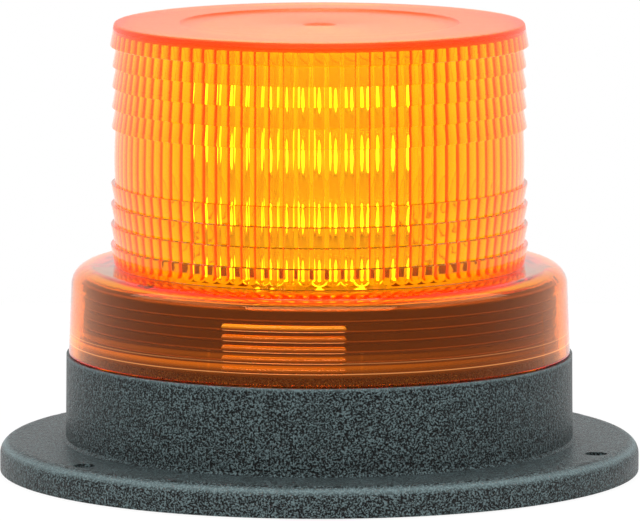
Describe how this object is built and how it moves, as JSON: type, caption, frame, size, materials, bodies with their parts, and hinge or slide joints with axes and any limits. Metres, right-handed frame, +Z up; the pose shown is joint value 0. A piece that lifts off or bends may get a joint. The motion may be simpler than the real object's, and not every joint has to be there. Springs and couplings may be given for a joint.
{
  "type": "rotating beacon",
  "caption": "Amber warning beacon with a ringed, fluted lens over a motor-driven column of lights, on a dark flanged base for bolting to a roof or panel.",
  "frame": {"origin": "centre of the flange's underside, the face that lies on the roof or panel", "axes": "+Z up along the lens's axis; -Y is the side with the ribbed grip on the lens skirt"},
  "size_m": [0.16, 0.16, 0.112],
  "materials": {
    "housing": "spark-textured dark slate plastic",
    "inner_black": "plain moulded black plastic",
    "deck_black": "fine matt black plastic",
    "lens_amber": "clear amber moulding, polished",
    "rubber": "soft black rubber",
    "foam": "closed-cell foam",
    "seal_rubber": "smooth black seal rubber",
    "zinc_steel": "bright zinc plate",
    "black_steel": "black oxide",
    "ground_steel": "ground steel",
    "motor_steel": "drawn plated steel",
    "motor_cap": "natural nylon",
    "armature_iron": "stacked iron",
    "ferrite": "dark grey ferrite",
    "bronze": "oil-filled bronze",
    "spring_bronze": "bright spring bronze",
    "brass_ring": "turned brass",
    "brass_gear": "cut brass",
    "cast_alloy": "blasted casting",
    "extruded_aluminium": "satin extrusion",
    "board_green": "green solder mask",
    "board_white": "white solder mask",
    "capacitor_sleeve": "dark sleeve",
    "chip_black": "moulded black",
    "terminal_green": "green moulding",
    "gear_white": "natural acetal",
    "led_amber": "phosphor window, lit"
  },
  "bodies": {
    "base": {"base_housing": "housing", "base_plate": "inner_black", "plate_screws": "zinc_steel", "cable_grommet": "rubber", "mounting_seal": "foam", "lens_seal": "seal_rubber", "lens_screws": "zinc_steel", "driver_board": "board_green", "capacitors": "capacitor_sleeve", "driver_coil": "ferrite", "driver_chips": "chip_black", "terminal_block": "terminal_green", "board_screws": "zinc_steel", "drive_standoffs": "zinc_steel", "standoff_screws": "zinc_steel", "drive_plate": "cast_alloy", "spindle_bushes": "bronze", "contact_holder": "inner_black", "contact_springs": "spring_bronze", "holder_screws": "zinc_steel", "deck_cover": "deck_black", "deck_screws": "black_steel", "idler_axle": "ground_steel", "axle_clip": "black_steel", "motor_can": "motor_steel", "motor_end_cap": "motor_cap", "motor_magnets": "ferrite", "motor_screws": "zinc_steel"},
    "lens": {"lens": "lens_amber"},
    "rotor": {"spindle": "ground_steel", "thrust_washer": "ground_steel", "retaining_clip": "black_steel", "slip_ring_sleeve": "inner_black", "slip_rings": "brass_ring", "turntable": "inner_black", "main_gear": "gear_white", "column_screws": "zinc_steel", "column_core": "extruded_aluminium", "light_boards": "board_white", "leds": "led_amber", "column_cap": "deck_black", "cap_screws": "black_steel"},
    "idler": {"idler_gear": "gear_white"},
    "motor_rotor": {"motor_armature": "armature_iron", "motor_shaft": "ground_steel", "drive_pinion": "brass_gear"}
  },
  "joints": [
    {"name": "rotor_spin", "type": "hinge", "parent": "base", "child": "rotor", "pos_m": [0, 0, 0.0385], "axis": [0, 0, 1], "continuous": true},
    {"name": "idler_spin", "type": "hinge", "parent": "base", "child": "idler", "pos_m": [0.024, 0, 0.0385], "axis": [0, 0, 1], "continuous": true},
    {"name": "pinion_spin", "type": "hinge", "parent": "base", "child": "motor_rotor", "pos_m": [0.0315, 0.01299, 0.0385], "axis": [0, 0, 1], "continuous": true},
    {"name": "lens_lift", "type": "slide", "parent": "base", "child": "lens", "axis": [0, 0, 1], "range_m": [0, 0.08]}
  ],
  "couplings": [
    {"joint": "idler_spin", "follows": "rotor_spin", "ratio": -4},
    {"joint": "pinion_spin", "follows": "rotor_spin", "ratio": 16}
  ]
}
